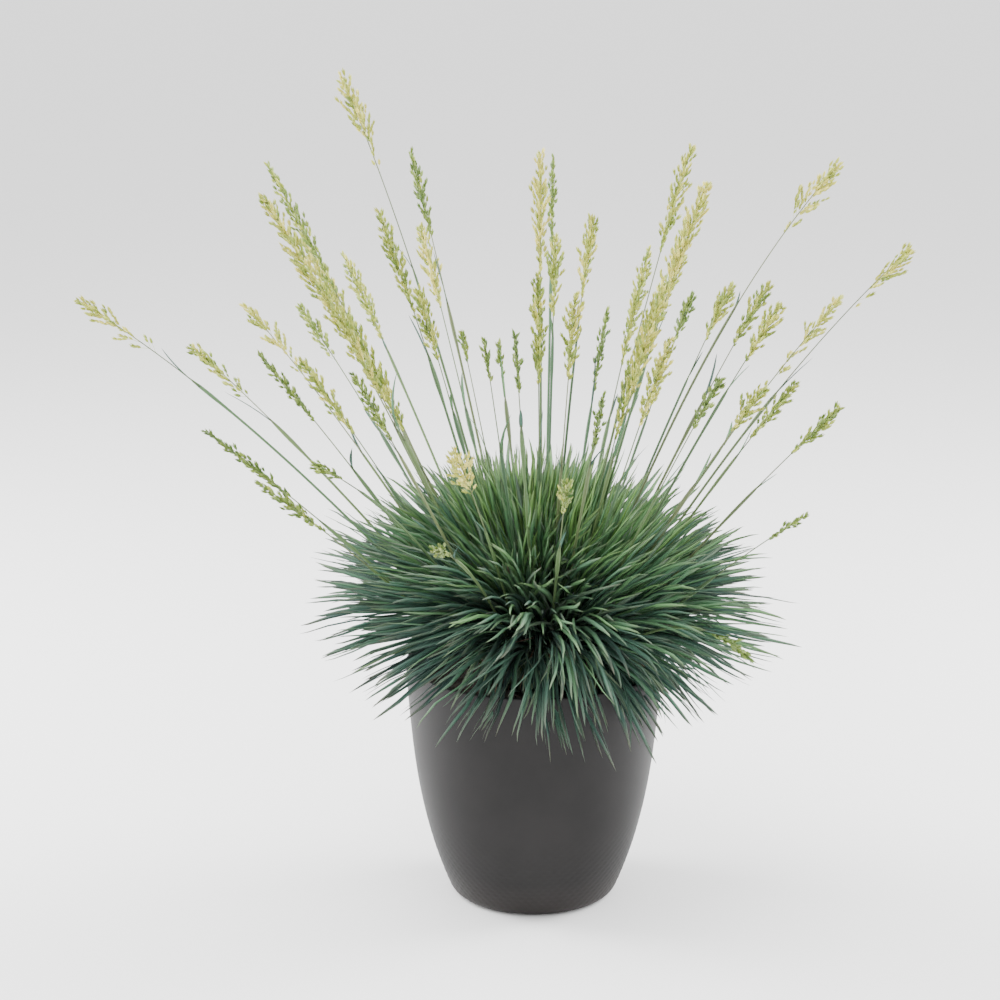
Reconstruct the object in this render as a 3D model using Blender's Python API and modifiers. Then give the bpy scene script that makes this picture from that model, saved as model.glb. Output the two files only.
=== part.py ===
"""Potted clump of ornamental grass with its flower stems.

Metres, +Z up. The origin is the centre of the flat base of the pot.
A turned pot holds the soil, a dense clump of leaves grows out of the soil and
arches over the rim, and thin flower stems rise from the crown of the clump.
Each stem runs in its own channel through the leaves.
"""

from collections import namedtuple
from math import atan2, cos, hypot, pi, radians, sin

import bmesh
import bpy
from mathutils import Vector

# ---------------------------------------------------------------- dimensions

GAP = 0.0003               # clearance kept between pieces that touch

POT_HEIGHT = 0.176
RIM_RADIUS = 0.093         # outside, at the top
POT_TAPER = 0.0114         # radius lost in a straight line, rim to base
POT_BELLY = 0.0233         # radius lost along a cubic, most of it near the base
POT_WALL = 0.0026
POT_FLOOR = 0.0035
POT_EDGE = 0.0114          # rounding between wall and base
EDGE_LEAN = 23             # degrees from upright of the wall where the rounding starts
POT_SIDES = 40
WALL_SHARES = (0.75, 0.50, 0.30, 0.15)     # of the pot's height, where the wall bends

SOIL_TOP = 0.1625          # 13.5 mm below the rim
SOIL_SIDES = 32

CLUMP_SIDES = 36
CLUMP_NECK = 0.056         # radius of the crown where it meets the soil
CLUMP_RADIUS = 0.166       # reach of the leaf tips from the axis
CLUMP_TOP = 0.3355
CLUMP_WAIST = 0.2155       # height at which the leaves reach furthest out
CLUMP_SKIRT = 0.1435       # lowest leaf tips, hanging outside the rim
RIM_CLEARANCE = 0.012      # leaves arch this far over the rim

CROWN_HEIGHT = SOIL_TOP + 0.006    # where the flower stems start
CROWN_SHIFT = 0.006                # the crown sits a little to the right
CROWN_SPREAD = 0.052               # crown radius reached by a stem lying flat
CULM_RADIUS = 0.0009
CHANNEL_CLEARANCE = 0.0006
CHANNEL_REACH = 0.215              # channels end outside the leaves
STEM_SIDES = 6

# ------------------------------------------------------------- flower stems

# azimuth: degrees from +X, counter-clockwise seen from above
# lean:    degrees from upright at the crown
# nod:     degrees by which the tip leans further than the base
# length, head, width: millimetres, of the stem, its seed head and the head's
#          widest part
Stem = namedtuple("Stem", "azimuth lean nod length head width")

STEMS_LEFT = (
    Stem(175, 43, 16, 405, 75, 13),
    Stem(159, 45, 8, 330, 65, 13),
    Stem(-163, 45, 6, 285, 80, 7),
    Stem(-153, 46, 6, 245, 65, 9),
    Stem(150, 39, 10, 335, 75, 14),
    Stem(-166, 34, 5, 300, 65, 7),
    Stem(161, 34, 6, 270, 70, 12),
    Stem(149, 29, 6, 415, 115, 10),
    Stem(-171, 24, 8, 395, 115, 16),
    Stem(137, 35, 6, 365, 110, 14),
    Stem(-152, 25, 6, 335, 100, 14),
    Stem(133, 43, 8, 335, 65, 12),
    Stem(170, 24, 4, 285, 95, 14),
    Stem(123, 41, 6, 370, 90, 12),
    Stem(-138, 30, 4, 285, 65, 9),
    Stem(-143, 33, 30, 250, 30, 9),
)

STEMS_MIDDLE = (
    Stem(153, 16, 10, 450, 80, 16),
    Stem(121, 24, 4, 400, 75, 9),
    Stem(-161, 16, 4, 360, 80, 12),
    Stem(115, 32, 2, 355, 75, 14),
    Stem(-144, 17, 2, 305, 55, 13),
    Stem(-110, 21, 0, 285, 35, 6),
    Stem(108, 20, 2, 240, 30, 6),
    Stem(126, 19, 2, 250, 25, 6),
    Stem(91, 12, -4, 375, 90, 14),
    Stem(87, 26, 2, 395, 75, 7),
    Stem(-95, 9, 0, 305, 85, 12),
    Stem(85, 19, 4, 320, 65, 13),
    Stem(46, 6, 6, 330, 60, 13),
    Stem(-77, 14, 2, 300, 65, 14),
    Stem(-98, 25, 0, 305, 50, 6),
)

STEMS_RIGHT = (
    Stem(43, 18, 6, 395, 85, 13),
    Stem(0, 14, 6, 370, 85, 17),
    Stem(67, 33, 4, 340, 105, 12),
    Stem(54, 27, 4, 345, 95, 14),
    Stem(-45, 17, 4, 310, 85, 16),
    Stem(37, 17, 4, 260, 90, 13),
    Stem(-60, 26, 4, 305, 75, 13),
    Stem(59, 38, 4, 315, 45, 10),
    Stem(41, 30, 6, 310, 50, 13),
    Stem(20, 27, 6, 315, 55, 12),
    Stem(-17, 26, 6, 315, 50, 13),
    Stem(22, 35, 12, 335, 85, 14),
    Stem(-37, 32, 6, 280, 45, 14),
    Stem(8, 35, 5, 260, 55, 10),
    Stem(-16, 39, 6, 275, 50, 10),
    Stem(20, 23, 22, 420, 80, 16),
    Stem(0, 32, 14, 385, 60, 16),
    Stem(-27, 47, 8, 215, 35, 6),
    Stem(71, 28, 2, 275, 70, 7),
)

STEMS_FRONT = (
    Stem(-53, 32, 4, 295, 50, 9),
    Stem(-75, 27, 2, 265, 50, 7),
    Stem(-109, 34, 10, 250, 45, 19),
    Stem(-111, 40, 32, 225, 32, 8),
    Stem(-86, 38, 4, 235, 35, 10),
    Stem(-47, 48, 75, 186, 40, 7),
)

FLOWER_STEMS = STEMS_LEFT + STEMS_MIDDLE + STEMS_RIGHT + STEMS_FRONT

# place along the seed head, and its radius there as a share of the widest
HEAD_SHAPE = ((0.12, 0.60), (0.40, 1.00), (0.75, 0.62), (1.00, 0.14))
PATH_STEPS = 120

# ------------------------------------------------------------------- helpers


def clear_scene():
    for item in list(bpy.data.objects):
        bpy.data.objects.remove(item, do_unlink=True)


def new_collection(name):
    collection = bpy.data.collections.new(name)
    bpy.context.scene.collection.children.link(collection)
    return collection


def material(name, colour, roughness, metallic=0.0):
    finish = bpy.data.materials.new(name)
    finish.use_nodes = True
    shader = finish.node_tree.nodes["Principled BSDF"]
    shader.inputs["Base Color"].default_value = (*colour, 1.0)
    shader.inputs["Roughness"].default_value = roughness
    shader.inputs["Metallic"].default_value = metallic
    return finish


def add_mesh(name, mesh, collection, finish=None):
    piece = bpy.data.objects.new(name, mesh)
    collection.objects.link(piece)
    if finish:
        mesh.materials.append(finish)
    return piece


def turned(name, profile, sides, collection, finish):
    """Turn an open profile in the XZ plane about Z, outer side top to bottom."""
    mesh = bpy.data.meshes.new(name)
    points = [(radius, 0, height) for radius, height in profile]
    edges = [(i, i + 1) for i in range(len(points) - 1)]
    mesh.from_pydata(points, edges, [])
    piece = add_mesh(name, mesh, collection, finish)
    screw = piece.modifiers.new("Turn", "SCREW")
    screw.axis = "Z"
    screw.angle = 2 * pi
    screw.steps = sides
    screw.render_steps = sides
    screw.use_merge_vertices = True
    screw.merge_threshold = 0.00005
    return piece


def arc(centre, radius, start, end, steps):
    """Points on an arc, from one angle to another, both in degrees."""
    angles = [radians(start + (end - start) * i / steps) for i in range(steps + 1)]
    return [(centre[0] + radius * cos(a), centre[1] + radius * sin(a)) for a in angles]


def applied(piece):
    """Replace a piece's live modifiers or curve by the mesh that they make."""
    bpy.context.view_layer.update()
    evaluated = piece.evaluated_get(bpy.context.evaluated_depsgraph_get())
    mesh = bpy.data.meshes.new_from_object(evaluated)
    name, place, home = piece.name, piece.matrix_world.copy(), piece.users_collection[0]
    bpy.data.objects.remove(piece, do_unlink=True)
    solid = bpy.data.objects.new(name, mesh)
    solid.matrix_world = place
    home.objects.link(solid)
    return solid


# ------------------------------------------------------------------ the pot


def pot_radius(height):
    """Outer radius of the pot's wall, which curves in towards its base."""
    drop = 1 - height / POT_HEIGHT
    return RIM_RADIUS - POT_TAPER * drop - POT_BELLY * drop ** 3


def make_pot(collection):
    """A thin wall with a rounded lip above and a well rounded foot below."""
    edge_start = POT_EDGE * (1 - sin(radians(EDGE_LEAN)))
    foot_radius = pot_radius(edge_start) - POT_EDGE * cos(radians(EDGE_LEAN))
    heights = [POT_HEIGHT * share for share in WALL_SHARES]
    inner = [(0, POT_FLOOR), (foot_radius, POT_FLOOR)]
    inner += [(pot_radius(z) - POT_WALL, z) for z in [POT_EDGE] + heights[::-1]]
    rim = arc((RIM_RADIUS - POT_WALL / 2, POT_HEIGHT - POT_WALL / 2), POT_WALL / 2, 180, 0, 4)
    outer = [(pot_radius(z), z) for z in heights]
    corner = arc((foot_radius, POT_EDGE), POT_EDGE, -EDGE_LEAN, -90, 4)
    finish = material("anthracite plastic", (0.062, 0.058, 0.057), 0.5)
    pot = turned("pot", inner + rim + outer + corner + [(0, 0)], POT_SIDES, collection, finish)
    pot.data.shade_smooth()
    return pot


def make_soil(collection):
    """Soil fills the pot to its top level and keeps the wall's shape."""
    heights = [SOIL_TOP] + [SOIL_TOP * share for share in WALL_SHARES] + [POT_EDGE + POT_FLOOR]
    clear = POT_WALL + 3 * GAP        # flat facets of wall and soil never meet
    side = [(pot_radius(z) - clear, z) for z in heights]
    base = POT_FLOOR + GAP
    foot = (pot_radius(base) - clear - POT_EDGE, base)
    finish = material("dark compost", (0.030, 0.020, 0.013), 0.95)
    return turned("soil", [(0, SOIL_TOP)] + side + [foot, (0, base)], SOIL_SIDES, collection, finish)


# ----------------------------------------------------------- the flower stems


def stem_path(stem):
    """Centre line of a stem, as points a fixed share of its length apart.

    The stem lies in one upright plane and leans further and further out.
    """
    step = 0.001 * stem.length / PATH_STEPS
    lean = radians(stem.lean)
    across = Vector((cos(radians(stem.azimuth)), sin(radians(stem.azimuth)), 0))
    point = Vector((CROWN_SHIFT, 0, CROWN_HEIGHT)) + CROWN_SPREAD * sin(lean) * across
    points = [point]
    for i in range(PATH_STEPS):
        angle = lean + radians(stem.nod) * ((i + 0.5) / PATH_STEPS) ** 2
        point = point + step * (sin(angle) * across + Vector((0, 0, cos(angle))))
        points.append(point)
    return points


def stem_outline(stem):
    """Points along a stem, with its radius at each, from the crown to the tip."""
    path = stem_path(stem)
    neck = 1 - stem.head / stem.length
    places = [0, 0.55 * neck, neck]
    radii = [CULM_RADIUS] * len(places)
    for place, share in HEAD_SHAPE:
        places.append(neck + place * (1 - neck))
        radii.append(share * 0.0005 * stem.width)
    return [path[round(PATH_STEPS * place)] for place in places], radii


def tube(name, points, radii, collection):
    """A filled tube along straight runs between the points."""
    curve = bpy.data.curves.new(name, "CURVE")
    curve.dimensions = "3D"
    curve.bevel_depth = 1.0
    curve.bevel_resolution = STEM_SIDES // 2 - 2
    curve.render_resolution_u = 0
    curve.use_fill_caps = True
    line = curve.splines.new("POLY")
    line.points.add(len(points) - 1)
    for target, point, radius in zip(line.points, points, radii):
        target.co = (*point, 1)
        target.radius = radius
    piece = bpy.data.objects.new(name, curve)
    collection.objects.link(piece)
    return piece


def make_flower_stem(number, stem, collection, finish):
    points, radii = stem_outline(stem)
    piece = tube(f"flower_stem_{number:02d}", points, radii, collection)
    piece.data.materials.append(finish)
    return piece


def make_channel(number, stem, collection):
    """Cutter for a stem's channel: the stem itself, a little fatter.

    It ends at the first of the stem's points that is outside the leaves.
    """
    points, radii = stem_outline(stem)
    inside = sum((point - points[0]).length < CHANNEL_REACH for point in points)
    down = (points[0] - points[1]).normalized()
    line = [points[0] + GAP * down] + points[1:inside + 1]
    room = [radius + CHANNEL_CLEARANCE for radius in radii[:len(line)]]
    return tube(f"channel_{number:02d}", line, room, collection)


# -------------------------------------------------------------- the leaf clump


def lobe(azimuth):
    """Unevenness of the leaves: share of the radius gained at an azimuth."""
    return (0.055 * cos(azimuth) + 0.030 * cos(3 * azimuth - 0.6)
            + 0.018 * cos(5 * azimuth + 1.1))


def make_clump(collection):
    """Dome of leaves on a narrow crown, hollow below where it passes the rim."""
    wide, waist = CLUMP_RADIUS, CLUMP_WAIST
    rise = CLUMP_TOP - waist
    dome = [(wide * cos(radians(a)), waist + rise * sin(radians(a))) for a in range(75, -1, -15)]
    rim_top = POT_HEIGHT + RIM_CLEARANCE
    # outer face of the skirt, then its inner face back up and over the rim
    skirt = [(0.96 * wide, waist - 0.025), (0.86 * wide, waist - 0.050),
             (0.74 * wide, CLUMP_SKIRT), (0.69 * wide, CLUMP_SKIRT + 0.004),
             (0.65 * wide, POT_HEIGHT)]
    under = [(RIM_RADIUS, rim_top), (0.80 * RIM_RADIUS, rim_top - 0.004)]
    neck = [(CLUMP_NECK + 0.004, SOIL_TOP + 0.010), (CLUMP_NECK, SOIL_TOP + GAP)]
    profile = [(0, CLUMP_TOP)] + dome + skirt + under + neck + [(0, SOIL_TOP + GAP)]
    finish = material("blue green leaves", (0.045, 0.105, 0.080), 0.6)
    clump = applied(turned("leaf_clump", profile, CLUMP_SIDES, collection, finish))
    for vertex in clump.data.vertices:
        radius = hypot(vertex.co.x, vertex.co.y)
        if radius > RIM_RADIUS + GAP:
            weight = (radius - RIM_RADIUS) / (CLUMP_RADIUS - RIM_RADIUS)
            gain = 1 + weight * lobe(atan2(vertex.co.y, vertex.co.x))
            vertex.co.x *= gain
            vertex.co.y *= gain
    return clump


def join_cutters(cutters, collection):
    """Weld each channel's caps and gather all the channels in one cutter."""
    gathered = bmesh.new()
    for cutter in cutters:
        solid = applied(cutter)
        gathered.from_mesh(solid.data)
        bpy.data.objects.remove(solid, do_unlink=True)
    bmesh.ops.remove_doubles(gathered, verts=gathered.verts, dist=0.00001)
    mesh = bpy.data.meshes.new("stem_channels")
    gathered.to_mesh(mesh)
    gathered.free()
    cutter = add_mesh("stem_channels", mesh, collection)
    cutter.hide_render = True
    cutter.display_type = "WIRE"
    return cutter


def cut(piece, cutter):
    boolean = piece.modifiers.new("Channels", "BOOLEAN")
    boolean.operation = "DIFFERENCE"
    boolean.solver = "EXACT"
    boolean.object = cutter


def main():
    clear_scene()
    parts = new_collection("potted_grass_clump")
    cutters = new_collection("cutters")
    make_pot(parts)
    make_soil(parts)
    clump = make_clump(parts)
    channels = []
    straw = material("green and cream stems", (0.32, 0.36, 0.16), 0.6)
    for number, stem in enumerate(FLOWER_STEMS, start=1):
        make_flower_stem(number, stem, parts, straw)
        channels.append(make_channel(number, stem, cutters))
    cut(clump, join_cutters(channels, cutters))


main()
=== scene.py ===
# %% [markdown]
# # A potted clump of ornamental grass
#
# The clump is three kinds of thing: a few thousand narrow leaves that all
# grow from one crown, some fifty flower stems that rise above them, and a
# plastic pot with its compost. The frame holds plain solids for them, at the
# real size: a dome for the leaves, a thin tube for each stem, a pot and a
# block. Here every solid gets the surface of the real thing: leaves as folded
# blades, seed heads as branches full of spikelets, compost as crumbs and the
# pot as a finely turned shell.

import bmesh
import bpy
import numpy as np
from math import cos, pi, radians, sin
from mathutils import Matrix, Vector, noise


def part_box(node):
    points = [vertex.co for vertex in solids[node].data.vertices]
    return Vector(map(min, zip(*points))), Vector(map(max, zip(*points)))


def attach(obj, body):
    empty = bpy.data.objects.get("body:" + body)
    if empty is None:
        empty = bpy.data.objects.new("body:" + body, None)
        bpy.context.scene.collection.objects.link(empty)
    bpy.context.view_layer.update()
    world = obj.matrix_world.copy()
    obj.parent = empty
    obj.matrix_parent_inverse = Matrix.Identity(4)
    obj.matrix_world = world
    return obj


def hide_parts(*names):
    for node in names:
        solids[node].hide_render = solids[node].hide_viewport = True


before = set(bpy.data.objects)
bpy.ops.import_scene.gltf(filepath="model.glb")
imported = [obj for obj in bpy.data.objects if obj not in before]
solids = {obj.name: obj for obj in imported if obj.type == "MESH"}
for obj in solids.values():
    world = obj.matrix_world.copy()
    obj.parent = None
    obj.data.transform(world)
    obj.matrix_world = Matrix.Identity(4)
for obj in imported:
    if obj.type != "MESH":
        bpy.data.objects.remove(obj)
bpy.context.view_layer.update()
stem_names = sorted(name for name in solids if name.startswith("flower_stem"))
print("nodes in the frame:", len(solids), "of which flower stems:", len(stem_names))

# %% [markdown]
# ## Sums on sockets
#
# Both materials and Geometry Nodes are trees of small steps, and long chains
# of Math nodes are hard to read. Wrapping a socket in a small class lets
# Python's own operators add the Math nodes, so a pattern reads like a
# formula. All other nodes come from one method, which takes the node's type,
# its settings and what goes into its sockets.


# %% A socket that can be added and multiplied
class Wire:
    """One output socket of a node tree."""

    def __init__(self, maker, socket):
        self.maker = maker
        self.socket = socket

    def maths(self, operation, *others):
        values = dict(enumerate((self, *others)))
        return self.maker.node("ShaderNodeMath", {"operation": operation}, values)

    def __add__(self, other):
        return self.maths("ADD", other)

    def __sub__(self, other):
        return self.maths("SUBTRACT", other)

    def __mul__(self, other):
        return self.maths("MULTIPLY", other)

    def __truediv__(self, other):
        return self.maths("DIVIDE", other)

    def __pow__(self, other):
        return self.maths("POWER", other)

    def __rsub__(self, other):
        return self.maths("MULTIPLY_ADD", -1.0, other)

    def __rtruediv__(self, other):
        return other * self.maths("POWER", -1.0)

    __radd__ = __add__
    __rmul__ = __mul__


# %% One method for every other node
class NodeMaker:
    """Adds nodes to a tree and joins them up."""

    def __init__(self, tree):
        self.tree = tree

    def pick(self, sockets, key):
        if isinstance(key, int):
            return sockets[key]
        return next(s for s in sockets if s.enabled and key in (None, s.name))

    def node(self, kind, settings=None, inputs=None, output=None):
        made = self.tree.nodes.new(kind)
        for name, value in (settings or {}).items():
            if name == "stops":
                self.set_stops(made.color_ramp, value)
            else:
                setattr(made, name, value)
        for key, value in (inputs or {}).items():
            self.feed(self.pick(made.inputs, key), value)
        return Wire(self, self.pick(made.outputs, output))

    def feed(self, socket, value):
        if isinstance(value, Wire):
            self.tree.links.new(value.socket, socket)
        else:
            socket.default_value = value

    def set_stops(self, ramp, stops):
        while len(ramp.elements) < len(stops):
            ramp.elements.new(1.0)
        for element, (place, colour) in zip(ramp.elements, stops):
            element.position = place
            element.color = (*colour, 1.0)

    def xyz(self, x, y, z):
        return self.node("ShaderNodeCombineXYZ", inputs={0: x, 1: y, 2: z})

    def vectors(self, operation, *values):
        return self.node("ShaderNodeVectorMath", {"operation": operation}, dict(enumerate(values)))

    def total(self, first, *others):
        for other in others:
            first = self.vectors("ADD", first, other)
        return first

    def scaled(self, vector, share):
        values = {0: vector, "Scale": share}
        return self.node("ShaderNodeVectorMath", {"operation": "SCALE"}, values)


# %% A material maker
class Finish(NodeMaker):
    """A material with one Principled shader, whose patterns are node sums."""

    def __init__(self, name, **constants):
        self.material = bpy.data.materials.new(name)
        self.material.use_nodes = True
        super().__init__(self.material.node_tree)
        self.shader = self.tree.nodes["Principled BSDF"]
        for label, value in constants.items():
            self.shader.inputs[label.replace("_", " ")].default_value = value

    def mix(self, share, first, second):
        first, second = (c if isinstance(c, Wire) else (*c, 1.0) for c in (first, second))
        values = {"Factor": share, "A": first, "B": second}
        return self.node("ShaderNodeMix", {"data_type": "RGBA"}, values)

    def ramp(self, value, *stops):
        return self.node("ShaderNodeValToRGB", {"stops": stops}, {"Fac": value}, "Color")

    def set(self, label, value):
        self.feed(self.shader.inputs[label], value)

    def bump(self, height, distance):
        sizes = {"Height": height, "Distance": distance, "Strength": 1.0}
        self.set("Normal", self.node("ShaderNodeBump", inputs=sizes))

    def scatter(self, tint, salt):
        """A random number for each tint; salt keeps one finish from another."""
        values = {"W": tint * salt}
        return self.node("ShaderNodeTexWhiteNoise", {"noise_dimensions": "1D"}, values)

    def mottle(self, place, scale, detail):
        """Soft noise over the surface, with its scale in patches a metre."""
        values = {"Vector": place, "Scale": scale, "Detail": detail}
        return self.node("ShaderNodeTexNoise", inputs=values)


# %% A Geometry Nodes maker
class Growth(NodeMaker):
    """A Geometry Nodes tree with named sizes, which grows plain meshes."""

    def __init__(self, name, **sizes):
        super().__init__(bpy.data.node_groups.new(name, "GeometryNodeTree"))
        face = self.tree.interface
        face.new_socket("Geometry", in_out="INPUT", socket_type="NodeSocketGeometry")
        face.new_socket("Geometry", in_out="OUTPUT", socket_type="NodeSocketGeometry")
        self.identifiers = {}
        for label, value in sizes.items():
            kind = "NodeSocketInt" if isinstance(value, int) else "NodeSocketFloat"
            item = face.new_socket(label, in_out="INPUT", socket_type=kind)
            item.default_value = value
            self.identifiers[label] = item.identifier
        self.entry = self.tree.nodes.new("NodeGroupInput")
        self.exit = self.tree.nodes.new("NodeGroupOutput")

    def size(self, label):
        return Wire(self, self.entry.outputs[label])

    def guide(self):
        return Wire(self, self.entry.outputs["Geometry"])

    def store(self, geometry, name, value, kind="FLOAT", domain="POINT"):
        settings = {"data_type": kind, "domain": domain}
        values = {"Geometry": geometry, "Name": name, "Value": value}
        return self.node("GeometryNodeStoreNamedAttribute", settings, values)

    def named(self, name, kind="FLOAT"):
        return self.node("GeometryNodeInputNamedAttribute", {"data_type": kind}, {"Name": name})

    def blend(self, name, share):
        """A stored place, multiplied by its share in a sum of places."""
        return self.scaled(self.named(name, "FLOAT_VECTOR"), share)

    def random(self, low, high, salt):
        """A random number per point; salt and the Seed size keep each draw apart."""
        seed = self.size("Seed") + salt
        values = {"Min": low, "Max": high, "Seed": seed}
        return self.node("FunctionNodeRandomValue", {"data_type": "FLOAT"}, values)

    def join(self, *parts):
        joined = self.tree.nodes.new("GeometryNodeJoinGeometry")
        for part in parts:
            self.tree.links.new(part.socket, joined.inputs[0])
        return Wire(self, joined.outputs[0])

    def end(self, geometry, finish):
        real = self.node("GeometryNodeRealizeInstances", inputs={"Geometry": geometry})
        dressed = {"Geometry": real, "Material": finish.material}
        last = self.node("GeometryNodeSetMaterial", inputs=dressed)
        self.tree.links.new(last.socket, self.exit.inputs["Geometry"])

    def grow(self, name, guide=None, **sizes):
        """Run the tree on a guide mesh and keep the result as a plain mesh."""
        piece = bpy.data.objects.new(name, guide or bpy.data.meshes.new(name))
        bpy.context.scene.collection.objects.link(piece)
        modifier = piece.modifiers.new(self.tree.name, "NODES")
        modifier.node_group = self.tree
        for label, value in sizes.items():
            modifier[self.identifiers[label]] = value
        evaluated = piece.evaluated_get(bpy.context.evaluated_depsgraph_get())
        plain = bpy.data.meshes.new_from_object(evaluated)
        piece.modifiers.clear()
        piece.data = plain
        plain.name = name
        triangles = sum(len(face.vertices) - 2 for face in plain.polygons)
        print(f"{name}: {triangles} triangles")
        return piece


# %% Where every finished piece hangs
def finish_piece(piece, slot, *nodes):
    """Hang a finished piece from the root body and hide the frame's nodes that it replaces; the slot
    is not used.
    """
    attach(piece, "root")
    if nodes:
        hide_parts(*nodes)


# %% [markdown]
# ## One strip of colour for each tint
#
# Thousands of leaves can't each have a material of their own, and yet no two
# leaves on a real plant are the same green. Each strand gets a strip of one
# shared UV map: across the map there is one column for each tint, and in a
# column the left to right of a leaf, with base to tip running up. A material
# reads its tint from the column and its veins and tip from the place in it.
# Every strand of one tint shares a column, so colour depends on the map alone.

# %% The tint map
TINTS = 64
TINT_MARGIN = 0.1


def store_tint_map(growth, geometry):
    """Write the shared UV map from each strand's tint, across and along."""
    inner = growth.named("across") * (1 - 2 * TINT_MARGIN) + TINT_MARGIN
    column = growth.named("tint").maths("MULTIPLY", TINTS - 1).maths("ROUND")
    place = growth.xyz((column + inner) / TINTS, growth.named("along") * 0.98 + 0.01, 0.0)
    return growth.store(geometry, "OFBake", place, "FLOAT2", "CORNER")


def read_tint_map(finish):
    """Return the tint, the place across and the place along, each 0 to 1."""
    place = finish.node("ShaderNodeUVMap", {"uv_map": "OFBake"})
    split = finish.node("ShaderNodeSeparateXYZ", inputs={0: place})
    across = split.socket.node.outputs["X"]
    along = Wire(finish, split.socket.node.outputs["Y"])
    column = Wire(finish, across) * TINTS
    tint = column.maths("FLOOR") / (TINTS - 1)
    inner = (column.maths("FRACT") - TINT_MARGIN) / (1 - 2 * TINT_MARGIN)
    return tint, inner, along


# %% [markdown]
# ## The leaf's finish
#
# This grass is blue-green because its leaves carry a thin bloom of wax. It is
# matt and paler on the midrib, and old tips dry to straw. The colour runs
# from blue on the outer leaves to plain green on the upright ones in the middle,
# so the tint drives a colour ramp. That ramp also holds painted light: its dark
# end paints shade on the low outer leaves, its bright green paints light from
# above on the upright ones, and its pale grey-green end paints highlights on
# single blades. The place along the leaf darkens the base with painted shade
# and bleaches the tip, and fine ribs come from a sine wave.
# Last year's leaves are the same leaf with a ramp of dull browns.

# %% Leaf finish
LEAF_RIBS = 7
RIB_HEIGHT = 0.00012
MIDRIB_SHARPNESS = 9.0
DARKEST_SHADE = 0.78
SHADE_RANGE = 0.44
DRY_FROM = 0.90
DRY_TIP = (0.34, 0.27, 0.17)


def leaf_finish(name, stops, dry_tip=DRY_TIP):
    finish = Finish(name, Specular_IOR_Level=0.30, Sheen_Weight=0.05, Sheen_Roughness=0.5)
    tint, across, along = read_tint_map(finish)
    scatter = finish.scatter(tint, 37.0)
    colour = finish.ramp(tint, *stops)
    light = DARKEST_SHADE + scatter * SHADE_RANGE
    ribs = (across * (2 * pi * LEAF_RIBS)).maths("SINE")
    midrib = 1 - ((across - 0.5).maths("ABSOLUTE") * MIDRIB_SHARPNESS).maths("MINIMUM", 1.0)
    # painted shade: each blade is darker towards its base, where the clump shades it
    base_painted_shade = 0.85 + 0.15 * (along * 2.6).maths("MINIMUM", 1.0)
    shade = light * base_painted_shade * (1 + ribs * 0.05 + midrib * 0.22)
    shaded = finish.scaled(colour, shade)
    drying = ((along - DRY_FROM) * 9.0).maths("MAXIMUM", 0.0) * (0.25 + 0.75 * scatter)
    finish.set("Base Color", finish.mix(drying * 0.45, shaded, dry_tip))
    finish.set("Roughness", 0.52 + 0.12 * scatter + midrib * 0.06)
    finish.bump(ribs * 0.5 + midrib, RIB_HEIGHT)
    return finish


# painted light: the dark low stops paint shade on the low outer leaves, the bright green stop paints
# light from above on upright leaves, and the pale grey-green top stops paint highlights on single
# blades; the blue to green hue is the leaf's own
leaf_green = leaf_finish("Waxy blue green leaf", (
    (0.00, (0.016, 0.042, 0.037)),
    (0.30, (0.056, 0.138, 0.092)),
    (0.55, (0.120, 0.264, 0.100)),
    (0.78, (0.195, 0.370, 0.095)),
    (0.88, (0.150, 0.230, 0.140)),
    (1.00, (0.200, 0.290, 0.220)),
))
dry_brown = leaf_finish("Dry brown leaf", (
    (0.00, (0.150, 0.090, 0.060)),
    (1.00, (0.300, 0.210, 0.140)),
))

# %% [markdown]
# ## The blade of a leaf
#
# A blade is long, narrow and folded along its midrib, and thins out towards
# its edges. It could be a flat strip, but a strip has no back and catches no
# light along its fold. Here four points make a closed shallow V, and sweeping
# it along the leaf's curve gives both faces and both edges for eight
# triangles a step. The leaf's width goes in as the curve's radius, and the
# steps crowd towards the tip, where the outline bends most.

# %% Sweeping a folded blade
BLADE_STEPS = 9
TIP_CROWDING = 1.7
TIP_BLUNTNESS = 26.0
BASE_WIDTH = 0.75
POINT_WIDTH = 0.02


def folded_section(growth):
    """A closed V one unit wide, with its place across stored on each point."""
    corners = {"Point 1": (-0.5, 0.13, 0), "Point 2": (0, -0.10, 0),
               "Point 3": (0.5, 0.13, 0), "Point 4": (0, 0.03, 0)}
    section = growth.node("GeometryNodeCurvePrimitiveQuadrilateral", {"mode": "POINTS"}, corners)
    around = growth.node("GeometryNodeSplineParameter", output="Factor")
    across = 1 - (1 - around * 2).maths("ABSOLUTE")
    return growth.store(section, "across", across)


def sweep_blades(growth, curves, turn):
    """Turn curves, whose width attribute is in metres, into folded blades."""
    along = growth.named("along")
    widening = BASE_WIDTH + (1 - BASE_WIDTH) * (along * 4).maths("MINIMUM", 1.0)
    taper = (1 - along ** TIP_BLUNTNESS) * widening + POINT_WIDTH
    sized = {"Curve": curves, "Radius": growth.named("width") * taper}
    sized = growth.node("GeometryNodeSetCurveRadius", inputs=sized)
    upright = growth.node("GeometryNodeSetCurveNormal", {"mode": "Z_UP"}, {"Curve": sized})
    turned = growth.node("GeometryNodeSetCurveTilt", inputs={"Curve": upright, "Tilt": turn})
    swept = {"Curve": turned, "Profile Curve": folded_section(growth), "Fill Caps": True}
    swept["Scale"] = growth.node("GeometryNodeInputRadius")
    blades = growth.node("GeometryNodeCurveToMesh", inputs=swept)
    return store_tint_map(growth, blades)


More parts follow.
